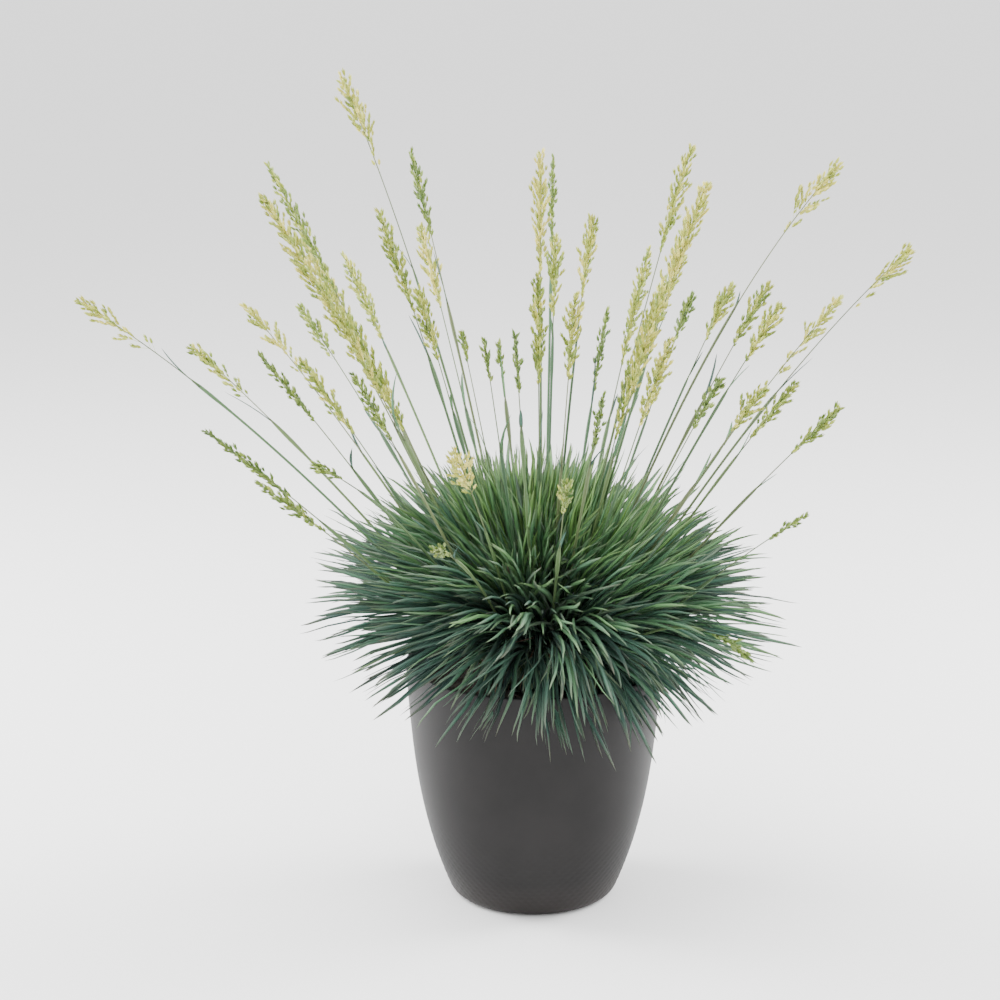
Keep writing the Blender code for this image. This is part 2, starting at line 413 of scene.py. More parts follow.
# %% [markdown]
# ## The clump of leaves
#
# All the leaves start in a crown about as wide as a palm and fan out to fill
# a dome. Placing each by hand is hopeless, and a scatter on the dome would
# give hair, not grass. The rule used here is the plant's own: a leaf rises
# from the crown inside its sheath, leaves the sheath a few centimetres up in
# the direction given by its rank and the golden angle, and grows on until it
# reaches the dome that the frame holds. A ray from outside finds that place.
# Foot, knee and tip are the three points of a quadratic curve, which keeps
# the outer half of a leaf nearly straight, as stiff blades are. Leaves that
# stand close together drift the same way, by a noise about as large as a
# hand's width, which gathers them in tufts. The clump is fuller on one side,
# and on the other its lowest leaves reach a little further to make up.

# %% Sizes of the crown, measured on the frame
dome_low, dome_high = (Vector(corner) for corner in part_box("leaf_clump"))
pot_low, pot_high = (Vector(corner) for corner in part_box("pot"))
soil_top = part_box("soil")[1][2]
FAN_HEIGHT = pot_high.z + 0.031
FAN_SHIFT = 0.009
GOLDEN_ANGLE = pi * (3 - 5 ** 0.5)
RAY_LENGTH = 0.4
HEAVY_AZIMUTH = -0.6
print("dome of leaves:", [round(1000 * size) for size in dome_high - dome_low], "mm")


# %% The way from the crown out to the dome
LEAN_SCATTER = 0.12
AZIMUTH_SCATTER = 0.5
LOPSIDED_CENTRE = 0.4


def leaf_lean(grow, rank, heavy_side):
    """Angle from upright, which grows with the leaf's rank and on the heavy side."""
    steepest = grow.size("Steepest") + grow.size("Lopsided") * (heavy_side - LOPSIDED_CENTRE)
    lean = (1 - rank * (1 - steepest.maths("COSINE"))).maths("ARCCOSINE")
    return (lean + grow.random(-LEAN_SCATTER, LEAN_SCATTER, 12)).maths("ABSOLUTE")


def dome_distance(grow, centre, way):
    """Distance from the centre to the dome, found by a ray that comes in from outside."""
    far = grow.vectors("MULTIPLY_ADD", way, (RAY_LENGTH,) * 3, centre)
    dome = grow.node("GeometryNodeObjectInfo", inputs={"Object": solids["leaf_clump"]},
                     output="Geometry")
    inward = grow.vectors("MULTIPLY", way, (-1, -1, -1))
    ray = {"Target Geometry": dome, "Source Position": far, "Ray Direction": inward,
           "Ray Length": RAY_LENGTH}
    hit = grow.node("GeometryNodeRaycast", {"data_type": "FLOAT"}, ray, "Is Hit")
    depth = Wire(grow, hit.socket.node.outputs["Hit Distance"])
    return hit * (RAY_LENGTH - depth)


# %% A foot, a knee and a tip for every leaf
KNEE_RISE = 0.020
LOW_KNEE_RISE = 0.012
LOW_LEAN = 1.1
SEED_TURN = 1.3
SKIRT_SHARPNESS = 8.0
YOUTH_AND_LIGHT_SHARE = 0.58
TWIST = 1.4


def seat_leaves(grow):
    """One point for each leaf, which carries its three places and its looks."""
    points = grow.node("GeometryNodePoints", inputs={"Count": grow.size("Leaves")})
    index = grow.node("GeometryNodeInputIndex")
    rank = (index + grow.random(0.0, 1.0, 1)) / grow.size("Leaves")
    azimuth = index * GOLDEN_ANGLE + grow.random(-AZIMUTH_SCATTER, AZIMUTH_SCATTER, 2)
    azimuth = azimuth + grow.size("Seed") * SEED_TURN
    heavy_side = (azimuth - HEAVY_AZIMUTH).maths("COSINE")
    lean = leaf_lean(grow, rank, heavy_side)
    side, up = lean.maths("SINE"), lean.maths("COSINE")
    east, north = azimuth.maths("COSINE"), azimuth.maths("SINE")

    # the tip, near the dome
    way = grow.xyz(side * east, side * north, up)
    centre = grow.xyz(FAN_SHIFT, 0.0, grow.size("Fan_height"))
    reach = dome_distance(grow, centre, way)
    reach = reach * grow.random(grow.size("Reach_low"), grow.size("Reach_high"), 3)
    skirt = grow.size("Skirt") * (1 - heavy_side) * 0.5 * side ** SKIRT_SHARPNESS
    reach = reach * (1 + skirt)
    aside = grow.random(-1.0, 1.0, 7) * grow.size("Sway")
    tip = grow.vectors("MULTIPLY_ADD", way, grow.xyz(reach, reach, reach), centre)
    tip = grow.total(tip, grow.xyz(aside * north, aside * east * -1.0, 0.0))

    # the foot on the soil, and the knee where the sheath ends
    foot_out = grow.size("Crown_radius") * side * grow.random(0.4, 1.0, 4)
    foot = grow.xyz(foot_out * east + FAN_SHIFT, foot_out * north, soil_top)
    knee_out = grow.size("Knee_radius") * side * grow.random(0.5, 1.2, 5)
    low = (lean - LOW_LEAN).maths("MAXIMUM", 0.0)
    knee_up = grow.size("Fan_height") + KNEE_RISE + low * LOW_KNEE_RISE
    knee_aside = grow.random(-0.8, 0.4, 13)
    knee = grow.xyz(knee_out * east + FAN_SHIFT + aside * north * knee_aside,
                    knee_out * north - aside * east * knee_aside,
                    knee_up + grow.random(-0.014, 0.006, 6))
    for name, value in (("foot", foot), ("knee", knee), ("tip", tip)):
        points = grow.store(points, name, value, "FLOAT_VECTOR")

    # width, tint, twist and sag
    blue, green = grow.size("Tint_low"), grow.size("Tint_high")
    # upright leaves take the bright end of the ramp and steep low ones its dark blue end: partly the
    # leaf's own colour, partly painted light from above and painted shade below
    youth_and_top_light = (1 - rank * 1.15).maths("MAXIMUM", 0.0) * YOUTH_AND_LIGHT_SHARE
    facts = {"width": grow.size("Width") * grow.random(0.72, 1.12, 8),
             "tint": blue + (green - blue) * (youth_and_top_light + grow.random(0.0, 1 - YOUTH_AND_LIGHT_SHARE, 9)),
             "turn": grow.random(-TWIST, TWIST, 10),
             "droop": side * grow.size("Droop") * grow.random(0.0, 1.0, 11)}
    for name, value in facts.items():
        points = grow.store(points, name, value)
    return points


# %% The rule for one leaf
def bend_leaves(grow, points):
    """A line of places for each leaf, bent through its foot, knee and tip."""
    line = grow.node("GeometryNodeCurvePrimitiveLine", inputs={"End": (0, 0, 1)})
    line = grow.node("GeometryNodeResampleCurve", inputs={"Curve": line, "Count": BLADE_STEPS + 1})
    placed = grow.node("GeometryNodeInstanceOnPoints", inputs={"Points": points, "Instance": line})
    curves = grow.node("GeometryNodeRealizeInstances", inputs={"Geometry": placed})
    step = grow.node("GeometryNodeSplineParameter", output="Factor")
    curves = grow.store(curves, "along", 1 - (1 - step) ** TIP_CROWDING)
    along = grow.named("along")
    sag = grow.xyz(0.0, 0.0, grow.named("droop") * along ** 3.0 * -1.0)
    place = grow.total(
        grow.blend("tip", along * along), grow.blend("knee", 2 * along * (1 - along)),
        grow.blend("foot", (1 - along) * (1 - along)), sag)
    cloud = {"Vector": place, "Scale": 1 / grow.size("Tuft_size"), "Detail": 1.0}
    cloud = grow.node("ShaderNodeTexNoise", inputs=cloud, output="Color")
    drift = grow.vectors("SUBTRACT", cloud, (0.5, 0.5, 0.5))
    place = grow.total(place, grow.scaled(drift, grow.size("Tuft_drift") * along * along))
    return grow.node("GeometryNodeSetPosition", inputs={"Geometry": curves, "Position": place})


def leaf_rule(finish):
    grow = Growth(
        "Leaves", Leaves=1500, Width=0.0031, Crown_radius=0.044, Knee_radius=0.030,
        Fan_height=FAN_HEIGHT, Steepest=1.95, Reach_low=0.80, Reach_high=1.03, Tint_low=0.0,
        Tint_high=0.75, Sway=0.022, Droop=0.012, Lopsided=0.35, Skirt=0.10,
        Tuft_size=0.095, Tuft_drift=0.034, Seed=1)
    curves = bend_leaves(grow, seat_leaves(grow))
    grow.end(sweep_blades(grow, curves, grow.named("turn")), finish)
    return grow


leaves = leaf_rule(leaf_green)

# %% [markdown]
# One rule grows five kinds of leaf. The outer ones reach the dome, the inner
# ones fill it, a few stray past it, young ones stand aslant in a paler grey
# green that is partly a painted highlight on single blades, and last year's
# dead ones stay short and thin among the rest.

# %% Growing the leaves, from the dome inwards
outer_leaves = leaves.grow(
    "outer_leaves", Leaves=1520, Seed=11, Tint_low=0.0, Tint_high=0.78, Steepest=2.02)
inner_leaves = leaves.grow(
    "inner_leaves", Leaves=1080, Seed=23, Width=0.0037, Steepest=1.50, Lopsided=0.10, Reach_low=0.55,
    Reach_high=0.97, Tint_low=0.05, Tint_high=0.82)
stray_leaves = leaves.grow(
    "stray_leaves", Leaves=260, Seed=37, Steepest=1.85, Width=0.0028, Reach_low=0.95,
    Reach_high=1.07, Sway=0.045, Tint_low=0.15, Tint_high=0.82)
# their pale grey green is partly a painted highlight on single blades
young_leaves = leaves.grow(
    "young_leaves", Leaves=340, Seed=52, Steepest=2.0, Width=0.0027, Reach_low=0.60,
    Reach_high=0.92, Sway=0.060, Knee_radius=0.050, Tint_low=0.86, Tint_high=1.0)
dry_leaves = leaf_rule(dry_brown).grow(
    "dry_leaves", Leaves=140, Seed=71, Steepest=2.1, Width=0.0019, Reach_low=0.35,
    Reach_high=0.70, Sway=0.050, Droop=0.030, Crown_radius=0.060)
for piece in (outer_leaves, inner_leaves, stray_leaves, young_leaves, dry_leaves):
    finish_piece(piece, "grass_leaf", "leaf_clump")

# %% [markdown]
# ## Reading the flower stems
#
# The frame's stems are thin tubes made of rings of six points, from the crown
# to the tip. The middle of each ring lies on the stem's centre line, and its
# radius says where the seed head begins and how wide it is. A smooth cubic
# through those middles gives a stem that bends evenly, so the fine stem and
# all its spikelets stand exactly where the plain one does.

# %% Rings and centre lines
RING = 6
CULM_RADIUS = 0.0009


def stem_rings(name):
    """Middles and radii of a plain stem's rings, from the crown to the tip."""
    points = np.array([vertex.co[:] for vertex in solids[name].data.vertices])
    points = np.unique(points.round(5), axis=0)
    crown = np.array([0, 0, soil_top])
    spans = np.linalg.norm(points - crown, axis=1)
    near, far = points[spans.argmin()], points[spans.argmax()]
    points = points[np.argsort(points @ (far - near))]
    rings = points[:len(points) // RING * RING].reshape(-1, RING, 3)
    middles = rings.mean(axis=1)
    radii = np.linalg.norm(rings - middles[:, None], axis=2).mean(axis=1)
    return middles, radii


class FlowerStem:
    """A smooth centre line with the place and width of its seed head."""

    def __init__(self, name):
        middles, radii = stem_rings(name)
        steps = np.linalg.norm(np.diff(middles, axis=0), axis=1)
        places = np.concatenate([[0], np.cumsum(steps)])
        self.length = places[-1]
        self.shares = places / self.length
        self.radii = radii
        self.cubic = [np.polyfit(self.shares, middles[:, axis], 3) for axis in range(3)]
        widest = radii.argmax()
        self.neck = self.shares[:widest][radii[:widest] < 1.2 * CULM_RADIUS].max()
        self.head_width = 2 * radii.max()
        first, last = self.point(0.1) - self.point(0), self.point(1) - self.point(0.9)
        self.nod = first.angle(last)

    def point(self, share):
        return Vector([float(np.polyval(axis, share)) for axis in self.cubic])

    def spread(self, share):
        return float(np.interp(share, self.shares, self.radii))


stems = [FlowerStem(name) for name in stem_names]
print("stems, shortest and longest in mm:",
      round(1000 * min(s.length for s in stems)), round(1000 * max(s.length for s in stems)))


# %% Guides: lines of points that carry their own sizes
def guide_mesh(name, lines):
    """Join lines of (point, facts) pairs in one mesh with named attributes."""
    points, edges, facts = [], [], []
    for line in lines:
        start = len(points)
        points += [point for point, _ in line]
        facts += [fact for _, fact in line]
        edges += [(i, i + 1) for i in range(start, len(points) - 1)]
    mesh = bpy.data.meshes.new(name)
    mesh.from_pydata(points, edges, [])
    for label in facts[0]:
        values = mesh.attributes.new(label, "FLOAT", "POINT")
        values.data.foreach_set("value", [fact[label] for fact in facts])
    return mesh


# %% [markdown]
# ## Culms and sheaths
#
# The culm is the stem proper, a thin round straw. Its top leaf wraps it in a
# sheath to some way below the seed head. Up to there the straw is thicker and
# a darker green, and where the sheath ends its leaf stands off as a short
# blade. A swept tube whose radius follows that swelling makes both at once.

# %% Culm and sheath
CULM_POINTS = 40
CULM_SIDES = 7
WRAPPED_RADIUS = 0.00095
BARE_RADIUS = 0.00060
SPINDLE = 0.035
CULM_TIP = 0.975
stem_draw = np.random.default_rng(5)


def culm_line(stem, sheath_end, swelling, hue):
    """Thick below, where sheaths wrap it, swollen at their end and thin above."""
    line = []
    for i in range(CULM_POINTS):
        share = CULM_TIP * i / (CULM_POINTS - 1)
        inside = 1 - (sheath_end - share) * stem.length / SPINDLE
        if share < sheath_end:
            girth = WRAPPED_RADIUS + swelling * sin(pi * max(inside, 0))
        else:
            girth = BARE_RADIUS * (1.25 - 0.75 * share)
        tint = hue if share < sheath_end else 0.5 + 0.5 * hue
        line.append((stem.point(share), {"girth": girth, "along": 0.5, "tint": tint}))
    return line


culm_green = leaf_finish("Straw green culm", (
    (0.00, (0.040, 0.095, 0.045)),
    (0.50, (0.080, 0.130, 0.045)),
    (1.00, (0.140, 0.150, 0.070)),
), (0.30, 0.30, 0.14))


def tube_rule(finish):
    grow = Growth("Culms", Sides=CULM_SIDES)
    curves = grow.node("GeometryNodeMeshToCurve", inputs={"Mesh": grow.guide()})
    round_section = {"Resolution": grow.size("Sides"), "Radius": 1.0}
    section = grow.node("GeometryNodeCurvePrimitiveCircle", inputs=round_section)
    around = grow.node("GeometryNodeSplineParameter", output="Factor")
    section = grow.store(section, "across", around)
    swept = {"Curve": curves, "Profile Curve": section, "Fill Caps": True,
             "Scale": grow.named("girth")}
    tubes = grow.node("GeometryNodeCurveToMesh", inputs=swept)
    tubes = grow.node("GeometryNodeSetShadeSmooth", inputs={"Geometry": tubes})
    grow.end(store_tint_map(grow, tubes), finish)
    return grow


sheath_ends = [stem.neck * stem_draw.uniform(0.70, 0.97) for stem in stems]
culm_lines = [culm_line(stem, end, stem_draw.uniform(-0.0001, 0.0009), stem_draw.uniform(0.0, 0.8))
              for stem, end in zip(stems, sheath_ends)]
culms = tube_rule(culm_green).grow("culms", guide_mesh("culm_guide", culm_lines))
finish_piece(culms, "flower_stem", *stem_names)

# %% Flag leaves
FLAG_POINTS = 7


def flag_line(top, heading, length, width, spread, tint):
    """A short blade that leaves the culm at a small angle and bends away."""
    line = []
    for i in range(FLAG_POINTS):
        along = 1 - (1 - i / (FLAG_POINTS - 1)) ** TIP_CROWDING
        way = (heading + spread * (0.4 + 0.7 * along)).normalized()
        facts = {"width": width * (1 - 0.8 * along ** 3), "along": along, "tint": tint,
                 "turn": 0.0}
        line.append((top + length * along * way, facts))
    return line


flags = []
for stem, end in zip(stems, sheath_ends):
    top = stem.point(end)
    heading = (top - stem.point(end - 0.05)).normalized()
    angle = stem_draw.uniform(-pi, pi)
    spread = Vector((cos(angle), sin(angle), 0.0)) * stem_draw.uniform(0.1, 0.5)
    length = stem_draw.uniform(0.012, 0.045)
    width = stem_draw.uniform(0.0016, 0.0028)
    flags.append(flag_line(top, heading, length, width, spread, stem_draw.uniform(0.1, 0.55)))


def flag_rule(finish):
    grow = Growth("Flag leaves")
    curves = grow.node("GeometryNodeMeshToCurve", inputs={"Mesh": grow.guide()})
    grow.end(sweep_blades(grow, curves, grow.named("turn")), finish)
    return grow


flag_leaves = flag_rule(leaf_green).grow("flag_leaves", guide_mesh("flag_guide", flags))
finish_piece(flag_leaves, "grass_leaf")

# %% [markdown]
# ## Spikelets
#
# A seed head is hundreds of spikelets, each a pair of papery scales around
# the flowers, some 6 mm long. Seen from arm's length each is a sharp little
# boat. Since there are thousands, one is made from three keeled scales of a
# dozen triangles each, and everything else comes from how they are placed.

# %% One spikelet
SPIKELET_LENGTH = 0.0062
# length, width, lean, turn and lift of each scale, in lengths of a spikelet
SCALES = (
    (0.90, 0.27, radians(13), 0, 0.0),
    (0.84, 0.27, radians(13), pi, 0.0),
    (0.80, 0.22, 0.0, pi / 2, 0.20),
)
# height and share of the width of each of a scale's two rings
SCALE_RINGS = ((0.30, 1.0), (0.66, 0.72))


def keeled_scale(shape, length, width, lean, turn, lift):
    """A three-sided boat from a point to a point, leaning out from the middle."""
    def place(x, y, z):
        x, z = x * cos(lean) + z * sin(lean), z * cos(lean) - x * sin(lean)
        return (x * cos(turn) - y * sin(turn), x * sin(turn) + y * cos(turn), z + lift)

    rings = []
    for height, share in SCALE_RINGS:
        half = 0.5 * width * share
        section = ((0.35 * half, half), (0.35 * half, -half), (-0.55 * half, 0))
        rings.append([shape.verts.new(place(x, y, height * length)) for x, y in section])
    foot = shape.verts.new(place(0, 0, 0))
    tip = shape.verts.new(place(0, 0, length))
    for i in range(3):
        following = (i + 1) % 3
        shape.faces.new((foot, rings[0][following], rings[0][i]))
        shape.faces.new((rings[0][i], rings[0][following], rings[1][following], rings[1][i]))
        shape.faces.new((rings[1][i], rings[1][following], tip))


def make_spikelet():
    shape = bmesh.new()
    for scale in SCALES:
        keeled_scale(shape, *scale)
    bmesh.ops.recalc_face_normals(shape, faces=shape.faces)
    mesh = bpy.data.meshes.new("spikelet")
    shape.to_mesh(mesh)
    shape.free()
    heights = [vertex.co.z for vertex in mesh.vertices]
    sides = [0.5 + 1.3 * vertex.co.y for vertex in mesh.vertices]
    mesh.attributes.new("along", "FLOAT", "POINT").data.foreach_set("value", heights)
    mesh.attributes.new("across", "FLOAT", "POINT").data.foreach_set("value", sides)
    return bpy.data.objects.new("spikelet", mesh)


spikelet = make_spikelet()
print("spikelet faces:", len(spikelet.data.polygons))

# %% [markdown]
# The scales are fleshy green in a young head and yellow in a ripe one, with
# papery pale edges and tips. The tint says how ripe a spikelet is, and the
# place across and along it says how papery.

# %% Finish of the spikelets
def spikelet_finish():
    finish = Finish("Papery spikelets", Specular_IOR_Level=0.3, Sheen_Weight=0.2)
    tint, across, along = read_tint_map(finish)
    scatter = finish.scatter(tint, 53.0)
    flesh = finish.ramp(
        tint, (0.0, (0.062, 0.120, 0.016)), (0.45, (0.160, 0.230, 0.024)),
        (0.8, (0.370, 0.390, 0.046)), (1.0, (0.580, 0.530, 0.100)))
    papery = finish.ramp(
        tint, (0.0, (0.400, 0.540, 0.150)), (0.6, (0.800, 0.840, 0.280)),
        (1.0, (0.950, 0.900, 0.440)))
    edge = ((across - 0.5).maths("ABSOLUTE") * 2.2).maths("MINIMUM", 1.0) ** 1.5
    tip = ((along - 0.55) * 2.2).maths("MAXIMUM", 0.0).maths("MINIMUM", 1.0)
    pale = (edge * 0.6 + tip * 0.55).maths("MINIMUM", 1.0)
    colour = finish.mix(pale, flesh, papery)
    shade = 0.80 + scatter * 0.4
    finish.set("Base Color", finish.scaled(colour, shade))
    finish.set("Roughness", 0.55 + 0.2 * edge)
    return finish


spikelet_cream = spikelet_finish()

# %% [markdown]
# ## Seed heads
#
# On the last part of a culm short branches stand out on all sides, each
# bearing a few spikelets. In a young head they are pressed to the stem, in a
# ripe one they stand out as far as the frame's spindle says, and a heavy head
# that nods has few low down, so that gaps show. The tree puts a point every
# millimetre or so along the head, grows a branch from each by the golden
# angle, and sets spikelets along the branches.

# %% The rule for a seed head
SPLAY = (0.38, 0.75)
SEAT_JITTER = 0.42
BARE_AXIS = 0.0012
SHORTEST_BRANCH = 0.0004
STALK_ALONG = 0.3


def head_rule(finish):
    grow = Growth("Seed heads", Branch_spacing=0.0014, Spikelet_spacing=0.0028,
                  Spikelet=SPIKELET_LENGTH, Stalk=0.00013, Seed=1)
    curves = grow.node("GeometryNodeMeshToCurve", inputs={"Mesh": grow.guide()})
    cut = {"Curve": curves, "Length": grow.size("Branch_spacing")}
    points = grow.node("GeometryNodeCurveToPoints", {"mode": "LENGTH"}, cut, "Points")
    nodes = points.socket.node
    axis, normal = (Wire(grow, nodes.outputs[name]) for name in ("Tangent", "Normal"))
    index = grow.node("GeometryNodeInputIndex")
    angle = index * GOLDEN_ANGLE + grow.random(-0.5, 0.5, 1)
    other = grow.vectors("CROSS_PRODUCT", axis, normal)
    radial = grow.total(grow.scaled(normal, angle.maths("COSINE")),
                        grow.scaled(other, angle.maths("SINE")))
    splay = grow.random(*SPLAY, 2)
    heading = grow.total(grow.scaled(axis, splay.maths("COSINE")),
                         grow.scaled(radial, splay.maths("SINE")))
    out = (grow.named("spread") - BARE_AXIS).maths("MAXIMUM", SHORTEST_BRANCH)
    length = out / splay.maths("SINE")
    length = length * grow.random(0.55, 1.05, 3)
    points = grow.store(points, "axis", axis, "FLOAT_VECTOR")
    points = grow.store(points, "tint", grow.named("ripe") + grow.random(-0.22, 0.22, 4))
    kept = grow.random(0.0, 1.0, 5).maths("GREATER_THAN", grow.named("gaps"))
    outward = grow.node("FunctionNodeAlignRotationToVector", {"axis": "Z"}, {"Vector": heading})
    branch = grow.node("GeometryNodeCurvePrimitiveLine", inputs={"End": (0, 0, 1)})
    branch = grow.node("GeometryNodeResampleCurve", inputs={"Curve": branch, "Count": 4})
    placed = {"Points": points, "Selection": kept, "Instance": branch, "Rotation": outward,
              "Scale": grow.xyz(length, length, length)}
    branches = grow.node("GeometryNodeInstanceOnPoints", inputs=placed)
    branches = grow.node("GeometryNodeRealizeInstances", inputs={"Geometry": branches})

    # thin stalks
    branches = grow.store(
        branches, "along", grow.node("GeometryNodeSplineParameter", output="Factor") * STALK_ALONG)
    section = grow.node("GeometryNodeCurvePrimitiveCircle", inputs={"Resolution": 3, "Radius": 1.0})
    section = grow.store(section, "across", grow.node("GeometryNodeSplineParameter", output=0))
    swept = {"Curve": branches, "Profile Curve": section, "Fill Caps": True,
             "Scale": grow.size("Stalk")}
    stalks = grow.node("GeometryNodeCurveToMesh", inputs=swept)

    # spikelets along each branch
    cut = {"Curve": branches, "Length": grow.size("Spikelet_spacing")}
    seats = grow.node("GeometryNodeCurveToPoints", {"mode": "LENGTH"}, cut, "Points")
    lie = Wire(grow, seats.socket.node.outputs["Tangent"])
    jitter = grow.xyz(*(grow.random(-SEAT_JITTER, SEAT_JITTER, salt) for salt in (6, 7, 8)))
    lie = grow.total(lie, grow.named("axis", "FLOAT_VECTOR"), jitter)
    turn = grow.node("FunctionNodeAlignRotationToVector", {"axis": "Z"}, {"Vector": lie})
    spin = grow.node("FunctionNodeAxisAngleToRotation",
                     inputs={"Axis": (0, 0, 1), "Angle": grow.random(-pi, pi, 9)})
    turn = grow.node("FunctionNodeRotateRotation", {"rotation_space": "LOCAL"},
                     {"Rotation": turn, "Rotate By": spin})
    one = grow.node("GeometryNodeObjectInfo", inputs={"Object": spikelet, "As Instance": True},
                    output="Geometry")
    size = grow.size("Spikelet") * grow.random(0.75, 1.12, 10)
    bare_end = grow.named("bare") * STALK_ALONG - 0.001
    beyond = grow.named("along").maths("GREATER_THAN", bare_end)
    seats = grow.store(seats, "tint", grow.named("tint") + grow.random(-0.15, 0.15, 11))
    placed = {"Points": seats, "Selection": beyond, "Instance": one, "Rotation": turn,
              "Scale": grow.xyz(size, size, size)}
    spikelets = grow.node("GeometryNodeInstanceOnPoints", inputs=placed)
    spikelets = grow.node("GeometryNodeRealizeInstances", inputs={"Geometry": spikelets})
    grow.end(store_tint_map(grow, grow.join(spikelets, stalks)), finish)
    return grow


# %% Growing the heads
HEAD_POINTS = 16
RIPE_WIDTH = (0.008, 0.015)
FULLER = 1.3
OPEN_NOD = (radians(7), radians(14))
OPEN_WIDTH = 0.011
HEAD_TIP = 0.985
# first stem of each piece and of the next; the pieces come out about equal
HEAD_GROUPS = {"left": (0, 16), "middle": (16, 34), "right": (34, 56)}
head_draw = np.random.default_rng(9)


def head_line(stem):
    """Points of a head; an open one has few, long branches low on its axis."""
    ripe = np.interp(stem.head_width, RIPE_WIDTH, (0.14, 0.84)) + head_draw.uniform(-0.10, 0.10)
    openness = np.interp(stem.nod, OPEN_NOD, (0.0, 1.0)) * (stem.head_width > OPEN_WIDTH)
    line = []
    for i in range(HEAD_POINTS):
        up = i / (HEAD_POINTS - 1)
        share = stem.neck + (HEAD_TIP - stem.neck) * up
        low = openness * max(0.0, 1 - 1.5 * up)
        spread = FULLER * stem.spread(share) + 0.004 * low
        facts = {"spread": spread, "ripe": ripe, "gaps": 0.85 * low ** 0.5 + 0.05,
                 "bare": 0.55 * low}
        line.append((stem.point(share), facts))
    return line


heads = head_rule(spikelet_cream)
head_lines = [head_line(stem) for stem in stems]
for seed, (side, (first, last)) in enumerate(HEAD_GROUPS.items(), start=3):
    guide = guide_mesh(f"{side}_guide", head_lines[first:last])
    finish_piece(heads.grow(f"seed_heads_{side}", guide, Seed=seed), "flower_stem")

# %% [markdown]
# ## The pot
#
# The pot is one turned shell: a thin wall that curves in to a narrower foot,
# with a rounded lip. Its lower part is embossed with small lozenges that
# fade out upwards. The frame's pot has forty flat sides, so a finer one is
# turned here from a cubic through the same outline, and the lozenges are
# pressed into its real surface by a few tenths of a millimetre.

# %% The pot's outline, measured on the frame
POT_SIDES = 288
WALL_ROWS = 150
WALL = 0.0026
LIP = WALL / 2
FLOOR_HEIGHT = 0.0035
FOOT_ROUND = 0.0114
FOOT_LEAN = 23
EMBOSS_DEPTH = 0.00050
EMBOSS_TOP = 0.070
EMBOSS_FOOT = 0.004
LOZENGES = 64
LOZENGE_HEIGHT = 0.0064
INNER_SPACING = 10

pot_height = pot_high.z
pot_points = np.array([vertex.co[:] for vertex in solids["pot"].data.vertices])
pot_radii = np.hypot(pot_points[:, 0], pot_points[:, 1])
on_wall = (pot_points[:, 2] > FOOT_ROUND + WALL) & (pot_points[:, 2] < pot_height - WALL)
heights = np.unique(pot_points[on_wall, 2].round(4))
outer_radii = [pot_radii[abs(pot_points[:, 2] - z) < 0.0001].max() for z in heights]
wall_drops = np.append(1 - heights / pot_height, 0.0)
wall_cubic = np.polyfit(wall_drops, np.append(outer_radii, pot_radii.max()), 3)
print("radius at the rim and near the foot:", pot_radii.max().round(4), outer_radii[0].round(4))


def wall_radius(height):
    return float(np.polyval(wall_cubic, 1 - height / pot_height))


def arc(centre, radius, start, end, steps):
    angles = [radians(start + (end - start) * i / steps) for i in range(steps + 1)]
    return [(centre[0] + radius * cos(a), centre[1] + radius * sin(a)) for a in angles]


def pot_outline():
    """From the middle of the foot up the outside, over the lip and down inside."""
    wall_start = FOOT_ROUND * (1 - sin(radians(FOOT_LEAN)))
    foot_radius = wall_radius(wall_start) - FOOT_ROUND * cos(radians(FOOT_LEAN))
    rows = np.linspace(wall_start, pot_height - LIP, WALL_ROWS)
    foot = arc((foot_radius, FOOT_ROUND), FOOT_ROUND, -90, -FOOT_LEAN, 8)
    outside = [(wall_radius(z), z) for z in rows[1:-1]]
    lip = arc((wall_radius(pot_height) - LIP, pot_height - LIP), LIP, 0, 180, 8)
    inside = [(wall_radius(z) - WALL, z) for z in rows[-INNER_SPACING:5:-INNER_SPACING]]
    return foot + outside + lip + inside + [(foot_radius, FLOOR_HEIGHT)]


def embossing(azimuth, height):
    """Depth of the lozenge pattern, which fades out up the wall."""
    fade = max(0.0, 1 - height / EMBOSS_TOP) ** 0.8
    fade *= min(1.0, height / EMBOSS_FOOT)
    up = height / LOZENGE_HEIGHT
    around = azimuth / (2 * pi) * LOZENGES
    first = abs((up + around) % 1 - 0.5) * 2
    second = abs((up - around) % 1 - 0.5) * 2
    return EMBOSS_DEPTH * fade * (min(first, second) - 0.5)


# %% Turning the pot
def join_rings(shape, rings):
    """Four-sided faces between rings that have the same number of points."""
    for lower, upper in zip(rings, rings[1:]):
        for i in range(len(lower)):
            j = (i + 1) % len(lower)
            shape.faces.new((lower[i], lower[j], upper[j], upper[i]))


def smooth_piece(name, shape):
    """Turn all faces outwards and keep the shape as a smooth piece."""
    bmesh.ops.recalc_face_normals(shape, faces=shape.faces)
    mesh = bpy.data.meshes.new(name)
    shape.to_mesh(mesh)
    shape.free()
    mesh.shade_smooth()
    piece = bpy.data.objects.new(name, mesh)
    bpy.context.scene.collection.objects.link(piece)
    triangles = sum(len(face.vertices) - 2 for face in mesh.polygons)
    print(f"{name}: {triangles} triangles")
    return piece


def turned_pot():
    shape = bmesh.new()
    rings = []
    for row, (radius, height) in enumerate(pot_outline()):
        ring = []
        for i in range(POT_SIDES):
            azimuth = 2 * pi * i / POT_SIDES
            out = radius
            if row < WALL_ROWS:
                out += embossing(azimuth, height)
            ring.append(shape.verts.new((out * cos(azimuth), out * sin(azimuth), height)))
        rings.append(ring)
    join_rings(shape, rings)
    shape.faces.new(list(reversed(rings[0])))
    shape.faces.new(rings[-1])
    return smooth_piece("flower_pot", shape)


